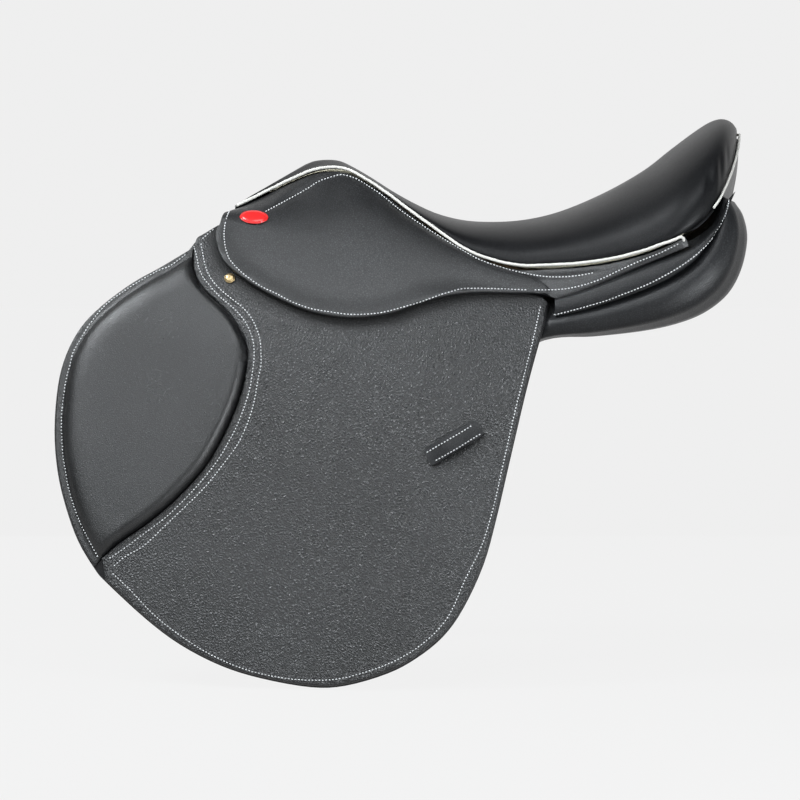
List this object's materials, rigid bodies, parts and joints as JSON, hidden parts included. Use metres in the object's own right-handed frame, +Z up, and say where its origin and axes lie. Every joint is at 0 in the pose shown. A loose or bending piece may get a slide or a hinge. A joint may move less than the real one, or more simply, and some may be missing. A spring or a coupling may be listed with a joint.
{
  "type": "pony jumping saddle",
  "caption": "Close-contact jumping saddle for a pony, with forward padded flaps, lifting skirts, stirrup bars, girth straps and flocked panels.",
  "frame": {"origin": "On the centre plane, under the deepest point of the seat, level with the lower edge of the rear panels, where the saddle rests on the horse.", "axes": "+X from pommel to cantle, the near (left) side is -Y, +Z up"},
  "size_m": [0.5385, 0.4024, 0.432],
  "materials": {
    "leather_seat": "smooth satin",
    "leather_grain": "pebbled satin",
    "leather_calf": "smooth satin",
    "leather_lining": "matt",
    "piping": "satin",
    "foam": "open-cell foam",
    "tree_wood": "sealed laminate",
    "webbing": "woven",
    "steel": "forged, satin",
    "brass": "polished",
    "badge": "gloss enamel"
  },
  "bodies": {
    "saddle": {"seat_cover": "leather_seat", "seat_foam": "foam", "seat_webbing": "webbing", "tree": "tree_wood", "head_arch": "steel", "channel_lining": "leather_lining", "skirt_piping_left": "piping", "skirt_piping_right": "piping", "cantle_piping": "piping", "cantle_facing": "leather_calf", "pommel_facing": "leather_calf", "skirt_upper_left": "leather_grain", "skirt_upper_right": "leather_grain", "flap_head_left": "leather_calf", "flap_head_right": "leather_calf", "badge_left": "badge", "badge_right": "badge", "tree_side_left": "tree_wood", "tree_side_right": "tree_wood", "stirrup_bar_left": "steel", "stirrup_bar_right": "steel", "bar_rivet_front_left": "steel", "bar_rivet_front_right": "steel", "bar_rivet_rear_left": "steel", "bar_rivet_rear_right": "steel", "point_pocket_left": "leather_calf", "point_pocket_right": "leather_calf", "girth_webbing_left": "webbing", "girth_webbing_right": "webbing", "panel_left": "leather_calf", "panel_right": "leather_calf", "panel_band_left": "leather_calf", "panel_band_right": "leather_calf", "sweat_flap_left": "leather_calf", "sweat_flap_right": "leather_calf", "knee_block_left": "leather_calf", "knee_block_right": "leather_calf"},
    "flap_left": {"flap_left": "leather_grain", "flap_lining_left": "leather_lining", "knee_pad_left": "leather_calf", "keeper_loop_left": "leather_calf", "flap_stud_left": "brass"},
    "skirt_left": {"skirt_left": "leather_grain"},
    "catch_left": {"bar_catch_left": "steel"},
    "straps_left": {"girth_strap_front_left": "leather_calf", "girth_strap_middle_left": "leather_calf", "girth_strap_rear_left": "leather_calf"},
    "guard_left": {"buckle_guard_left": "leather_calf"},
    "flap_right": {"flap_right": "leather_grain", "flap_lining_right": "leather_lining", "knee_pad_right": "leather_calf", "keeper_loop_right": "leather_calf", "flap_stud_right": "brass"},
    "skirt_right": {"skirt_right": "leather_grain"},
    "catch_right": {"bar_catch_right": "steel"},
    "straps_right": {"girth_strap_front_right": "leather_calf", "girth_strap_middle_right": "leather_calf", "girth_strap_rear_right": "leather_calf"},
    "guard_right": {"buckle_guard_right": "leather_calf"}
  },
  "joints": [
    {"name": "flap_fold_left", "type": "hinge", "parent": "saddle", "child": "flap_left", "pos_m": [-0.07268, -0.09388, 0.06681], "axis": [-0.9607, 0.1794, 0.2119], "range_deg": [0, 75]},
    {"name": "skirt_fold_left", "type": "hinge", "parent": "flap_left", "child": "skirt_left", "pos_m": [-0.07268, -0.09388, 0.06681], "axis": [-0.9607, 0.1794, 0.2119], "range_deg": [0, 60]},
    {"name": "catch_turn_left", "type": "hinge", "parent": "saddle", "child": "catch_left", "pos_m": [-0.08288, -0.0942, 0.04492], "axis": [-0.0453, -0.8543, 0.5178], "range_deg": [0, 70]},
    {"name": "straps_swing_left", "type": "hinge", "parent": "saddle", "child": "straps_left", "pos_m": [-0.01099, -0.10336, 0.02706], "axis": [-0.0502, -0.8629, 0.5029], "range_deg": [-4, 4]},
    {"name": "guard_slide_left", "type": "slide", "parent": "straps_left", "child": "guard_left", "axis": [-0.208, -0.2607, -0.9428], "range_m": [-0.03, 0.015]},
    {"name": "flap_fold_right", "type": "hinge", "parent": "saddle", "child": "flap_right", "pos_m": [-0.07268, 0.09388, 0.06681], "axis": [0.9607, 0.1794, -0.2119], "range_deg": [0, 75]},
    {"name": "skirt_fold_right", "type": "hinge", "parent": "flap_right", "child": "skirt_right", "pos_m": [-0.07268, 0.09388, 0.06681], "axis": [0.9607, 0.1794, -0.2119], "range_deg": [0, 60]},
    {"name": "catch_turn_right", "type": "hinge", "parent": "saddle", "child": "catch_right", "pos_m": [-0.08288, 0.0942, 0.04492], "axis": [0.0453, -0.8543, -0.5178], "range_deg": [0, 70]},
    {"name": "straps_swing_right", "type": "hinge", "parent": "saddle", "child": "straps_right", "pos_m": [-0.01099, 0.10336, 0.02706], "axis": [0.0502, -0.8629, -0.5029], "range_deg": [-4, 4]},
    {"name": "guard_slide_right", "type": "slide", "parent": "straps_right", "child": "guard_right", "axis": [-0.208, 0.2607, -0.9428], "range_m": [-0.03, 0.015]}
  ]
}
